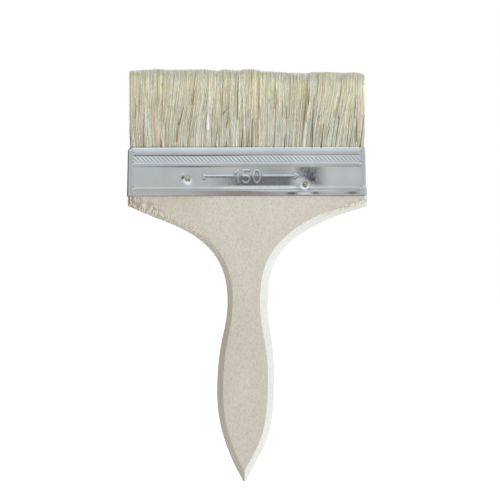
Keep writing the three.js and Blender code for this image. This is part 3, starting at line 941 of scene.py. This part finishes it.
def bristle_piece(name, y_near, y_far, seed):
    """Bristles whose roots lie between two depths, as thin tapered strands."""
    random = np.random.default_rng(seed)
    count = STRANDS_PER_PIECE
    x = random.uniform(-PACK_HALF_X, PACK_HALF_X, count)
    y = random.uniform(y_near, y_far, count)

    edges = -PACK_HALF_X + np.cumsum(random.uniform(0.3, 1.1, 400) * MM)
    edges = edges[edges < PACK_HALF_X]
    clump = np.searchsorted(edges, x + random.normal(0, 0.12 * MM, count))
    middles = np.concatenate([[-PACK_HALF_X], (edges[1:] + edges[:-1]) / 2, [PACK_HALF_X, PACK_HALF_X]])
    clump_lean = random.normal(0, 0.9, len(middles))
    clump_colour = random.choice(len(PALETTE), len(middles), p=CLUMP_SHARES)
    own_colour = random.choice(len(PALETTE), count, p=STRAY_SHARES)
    follows = random.random(count) < CLUMP_HOLD
    colour = PALETTE[np.where(follows, clump_colour[clump], own_colour)]

    line = strand_lines(random, x, y, clump_lean[clump], middles[clump])
    thickness = STRAND_RADIUS * random.uniform(0.75, 1.25, count)
    radius = thickness[:, None] * np.interp(RING_SHARES, [0, 0.8, 1.0], [1.0, 0.95, 0.6])
    points = strand_tubes(line, radius, random.uniform(0, 2 * math.pi, count))
    return strand_piece(name, points, strand_tints(random, x, line[..., 2], colour))


# Dark and tan bristles that show on the front, in millimetres: x and height above the mouth
# of the lower end, lean, length, radius and colour.
FRONT_BRISTLES = [
    (-74.1, -1, -0.2, 12, 0.16, DARK), (-71.2, 18, 0.2, 13, 0.10, DARK),
    (-65.4, -1, 0.0, 22, 0.16, BROWN), (-55.1, -1, 0.0, 6.5, 0.18, BROWN),
    (-54.4, 17, 0.6, 24, 0.17, TAN), (-44.6, 3, 1.4, 13, 0.18, BROWN), (-43.2, 14, 3.2, 12, 0.12, DARK),
    (-34.6, 27, 1.6, 10, 0.18, BROWN), (-20.0, -1, 1.8, 19, 0.15, BROWN),
    (-13.4, 12, 2.3, 10, 0.16, BROWN), (-15.6, 21, 4.6, 4.4, 0.11, DARK),
    (-13.3, -1, 0.1, 5, 0.15, BROWN), (-5.8, 17, 0.3, 29, 0.20, BROWN), (-3.3, -1, 0.8, 13, 0.19, DARK),
    (0.6, -1, 0.4, 14, 0.16, BROWN), (3.0, -1, 1.0, 19, 0.14, BROWN), (18.2, 24, 0.3, 13, 0.17, BROWN),
    (16.8, -1, 1.4, 15, 0.14, BROWN), (23.8, -1, 0.8, 10, 0.17, DARK), (24.9, 18, 0.2, 8, 0.15, BROWN),
    (37.6, 16, 0.2, 24, 0.22, TAN), (39.2, 27, 0.6, 11, 0.16, BROWN), (41.5, -1, 0.7, 25, 0.18, DARK),
    (47.2, -1, 1.7, 16, 0.19, DARK), (45.0, 18, 6.0, 7, 0.10, DARK), (50.7, 5, 3.0, 14, 0.11, BROWN),
    (58.6, 17, -0.6, 5, 0.11, DARK), (64.8, -1, 2.4, 17, 0.16, BROWN), (69.8, 3, 0.5, 13, 0.14, BROWN),
    (68.4, 18, 0.8, 15, 0.17, BROWN), (71.6, -1, 2.9, 21, 0.16, DARK),
]
FRONT_THICKNESS = 1.75  # they are drawn this many times their listed radius
CROSSING_BRISTLES = 36
GLINT_X = -25.0  # a painted highlight: a white strand shape for a glint off a split bristle, where it is widest
GLINT_HEIGHT = 15.0
GLINT_WHITE = (1.0, 0.99, 0.93, 1)


def front_depth(z):
    """The y of the front surface of the pack at a height."""
    t = np.clip((z - ROOT_Z) / (cad_high.z - ROOT_Z), 0, 1)
    half = PACK_HALF_Y * (1 - (1 - TIP_NARROWING) * t) * belly(t)
    return -half - STRAND_RADIUS - 0.8 * MM * smoothstep(z, MOUTH_Z, MOUTH_Z + 3 * MM)


def front_strays():
    """The single bristles on the front surface: dark and crossing ones, and white strands that stand in
    for a glint, as a painted highlight.
    """
    random = np.random.default_rng(21)
    t = np.linspace(0, 1, RINGS)
    lines, radii, colours = [], [], []

    def add(x, height, lean, length, radius, colour, bow=0.0):
        """One bristle that starts at x and height and ends lean further right."""
        z = MOUTH_Z + (height + length * t) * MM
        across = (x + lean * t + bow * np.sin(math.pi * t)) * MM
        lines.append(np.stack([across, front_depth(z), z], 1))
        radii.append(radius * MM * np.interp(t, [0, 0.3, 1.0], [0.9, 1.0, 0.35]))
        colours.append(np.tile(colour, (RINGS, 1)))

    for x, height, lean, length, radius, colour in FRONT_BRISTLES:
        add(x, height, lean, length, FRONT_THICKNESS * radius, colour, random.normal(0, 0.15))
    for _ in range(CROSSING_BRISTLES):
        lean = random.choice([-1, 1], p=[0.3, 0.7]) * random.uniform(1, 4)
        colour = PALETTE[random.choice(5, p=[0.3, 0.25, 0.2, 0.2, 0.05])]
        add(random.uniform(-72, 70), random.uniform(4, 34), lean, random.uniform(4, 10), 0.1, colour,
            random.normal(0, 0.4))
    # Painted highlight: a faint long white streak, then bright white strands where it is widest.
    add(GLINT_X, GLINT_HEIGHT - 14, 0.2, 38, 0.2, srgb(250, 250, 240))
    for side in (-1, 0, 1):
        add(GLINT_X + 0.25 * side, GLINT_HEIGHT - 4.5, 0.2 - 0.25 * side, 11.5, 0.6, GLINT_WHITE,
            0.4 * side)
    points = strand_tubes(np.array(lines), np.array(radii), np.full(len(lines), math.pi / 6))
    return strand_piece("bristles_front_strays", points, np.array(colours))


# ---- assembly

def dress(piece, material, node):
    """Give a piece its material, and hide the CAD node it stands for."""
    paint(piece, material)
    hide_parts(node)


def bend(piece):
    """Bake the placement of a piece of the hair into its mesh."""
    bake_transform(piece)


beech = wood_material("beech", srgb(206, 202, 190), srgb(193, 188, 175), srgb(168, 146, 120))
handle = handle_piece()
dress(handle, beech, "handle")
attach(handle, ROOT_BODY)

ferrule = ferrule_piece()
dress(ferrule, tin_material(), "ferrule")
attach(ferrule, ROOT_BODY)

steel = nail_material()
for node in sorted(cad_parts):
    if node.startswith("nail_"):
        nail = nail_piece(node)
        dress(nail, steel, node)
        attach(nail, ROOT_BODY)

hair = bristle_material()
outer, inner = PACK_HALF_Y, PACK_HALF_Y - 2.0 * MM
layers = [
    ("bristles_front_outer", "bristles_front", -outer, -inner, 11),
    ("bristles_front_inner", "bristles_front", -inner, -0.1 * MM, 12),
    ("bristles_back_inner", "bristles_back", 0.1 * MM, inner, 13),
    ("bristles_back_outer", "bristles_back", inner, outer, 14),
]
for name, node, near, far, seed in layers:
    layer = bristle_piece(name, near, far, seed)
    dress(layer, hair, node)
    bend(layer)

strays = front_strays()
dress(strays, hair, "bristles_front")
bend(strays)

set_roots = root_material()
hidden_looks = {
    "resin_set": resin_material(),
    "spacer_strip": wood_material(
        "spacer_pine", srgb(206, 180, 138), srgb(176, 146, 102), srgb(150, 118, 78)),
    "bristle_roots_front": set_roots,
    "bristle_roots_back": set_roots,
}
for node, look in hidden_looks.items():
    paint(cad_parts[node], look)


# ---- floor, light and camera

LIGHT_LEVEL = 2.2
LIGHT_AXIS = (0.88, 0, -0.47)  # from the dim side of the room to the bright one
LEFT_LIGHT = (0.13, 0.10, 0.04)
RIGHT_LIGHT = (0.82, 0.875, 0.94)

# What the metal mirrors: share of the way from straight down to straight up, and colour.
MIRROR = [
    (0.0, (0.60, 0.60, 0.62)), (0.25, (0.56, 0.56, 0.58)), (0.33, (0.24, 0.24, 0.25)),
    (0.4, (0.12, 0.12, 0.13)), (0.45, (0.32, 0.32, 0.33)), (0.48, (0.63, 0.63, 0.64)),
    (0.5, (0.71, 0.70, 0.68)), (0.55, (0.795, 0.80, 0.795)), (0.62, (0.89, 0.95, 1.03)),
    (0.7, (1.07, 1.16, 1.28)), (0.8, (1.28, 1.36, 1.45)), (1.0, (1.33, 1.40, 1.47))]
SIDE_MIRROR = [
    (0.0, (0.26, 0.26, 0.27)), (0.25, (0.48, 0.49, 0.50)), (0.5, (0.76, 0.77, 0.78)),
    (0.62, (0.89, 0.93, 0.98)), (0.8, (1.20, 1.26, 1.34)), (1.0, (1.30, 1.35, 1.42))]
MIRROR_LEVEL = 1.5  # the brightest mirrored colours stay below this
DARK_SIDE = (0.07, 0.07, 0.08, 1)  # what it mirrors behind the brush, on the left
BLUE_SIDE = (0.72, 0.76, 0.82, 1)  # and on the right


def floor():
    """A pale level floor just under the tip of the handle."""
    half = 3.0
    drop = 0.2 * MM
    corners = [(-half, -half, -drop), (half, -half, -drop), (half, half, -drop), (-half, half, -drop)]
    plane = mesh_object("floor", corners, [[0, 1, 2, 3]], smooth=False)
    pale = Material("pale_floor")
    pale.surface(Base_Color=(0.9, 0.9, 0.9, 1), Roughness=0.9,
                 Emission_Color=(1, 1, 1, 1), Emission_Strength=0.45)
    paint(plane, pale.material)
    plane.visible_glossy = False
    plane.visible_diffuse = False


def dimmed(stops):
    """Stops for a ramp, which holds colours only up to 1."""
    return [(place, np.array(colour) / MIRROR_LEVEL) for place, colour in stops]


def studio_world():
    """White to the camera. It lights the object cool and bright from the right, warm and dim
    from the left, and in the metal it shows a dark band just below the horizon."""
    world = bpy.data.worlds.new("studio")
    world.use_nodes = True
    bpy.context.scene.world = world
    world.node_tree.nodes.clear()
    room = NodeTree(world.node_tree)

    direction = room.add("ShaderNodeTexCoord").outputs["Generated"]
    towards_light = room.add("ShaderNodeVectorMath", {0: direction, 1: LIGHT_AXIS},
                             operation="DOT_PRODUCT").outputs["Value"]
    soft = room.ramp(towards_light, [(0, LEFT_LIGHT), (1, RIGHT_LIGHT)])
    soft = room.add("ShaderNodeBackground", {"Color": soft, "Strength": LIGHT_LEVEL}).outputs[0]

    right, behind, up = room.add("ShaderNodeSeparateXYZ", {0: direction}).outputs
    aside = room.range(room.maths("ABSOLUTE", right), 0.25, 0.5)
    mirror = room.mix(aside, room.ramp(up, dimmed(MIRROR)), room.ramp(up, dimmed(SIDE_MIRROR)))
    dark = room.times(room.range(behind, -0.1, 0.4), room.range(right, 0.1, -0.5))
    mirror = room.mix(dark, mirror, DARK_SIDE)
    blue = room.times(room.range(behind, -0.4, 0.3), room.range(right, 0.2, 0.7))
    mirror = room.mix(room.times(blue, 0.7), mirror, BLUE_SIDE)
    mirror = room.add("ShaderNodeBackground", {"Color": mirror, "Strength": MIRROR_LEVEL}).outputs[0]

    white = room.add("ShaderNodeBackground", {"Color": (1, 1, 1, 1)}).outputs[0]
    rays = room.add("ShaderNodeLightPath").outputs
    lit = room.add("ShaderNodeMixShader", {0: rays["Is Glossy Ray"], 1: soft, 2: mirror}).outputs[0]
    seen = room.add("ShaderNodeMixShader", {0: rays["Is Camera Ray"], 1: lit, 2: white}).outputs[0]
    room.add("ShaderNodeOutputWorld", {"Surface": seen})


def softbox(name, place, target, size, power, colour):
    """A round area light that looks at a target and shows in neither picture nor metal."""
    light = bpy.data.lights.new(name, "AREA")
    light.shape = "DISK"
    light.size = size
    light.energy = power
    light.color = colour
    lamp = bpy.data.objects.new(name, light)
    lamp.location = place
    lamp.visible_glossy = False
    lamp.visible_camera = False
    aim = bpy.data.objects.new(name + "_aim", None)
    aim.location = target
    for thing in (lamp, aim):
        bpy.context.scene.collection.objects.link(thing)
    follow = lamp.constraints.new("TRACK_TO")
    follow.target = aim
    follow.track_axis = "TRACK_NEGATIVE_Z"
    follow.up_axis = "UP_Y"


floor()
studio_world()
middle_z = (cad_low.z + cad_high.z) / 2
softbox("key_light", (1.1, -0.7, 0.15), (0, 0, middle_z), 0.6, 2.5, (1.0, 1.0, 1.0))
softbox("top_light", (0, -0.28, 0.40), (0, 0, cad_high.z - 0.02), 0.15, 0.1, (1.0, 0.98, 0.94))

VIEW_HEIGHT = 0.32  # what the picture takes in, at the brush
VIEW_MIDDLE_X = 1.95 * MM
VIEW_MIDDLE_Z = 147.5 * MM
LENS = 101.0
SENSOR = 36.0
camera_data = bpy.data.cameras.new("camera")
camera_data.lens = LENS
camera_data.sensor_width = SENSOR
camera = bpy.data.objects.new("camera", camera_data)
camera.location = (VIEW_MIDDLE_X, -VIEW_HEIGHT * LENS / SENSOR, VIEW_MIDDLE_Z)
camera.rotation_euler = (math.pi / 2, 0, 0)
bpy.context.scene.collection.objects.link(camera)
bpy.context.scene.camera = camera
bpy.context.scene.view_settings.view_transform = "Standard"
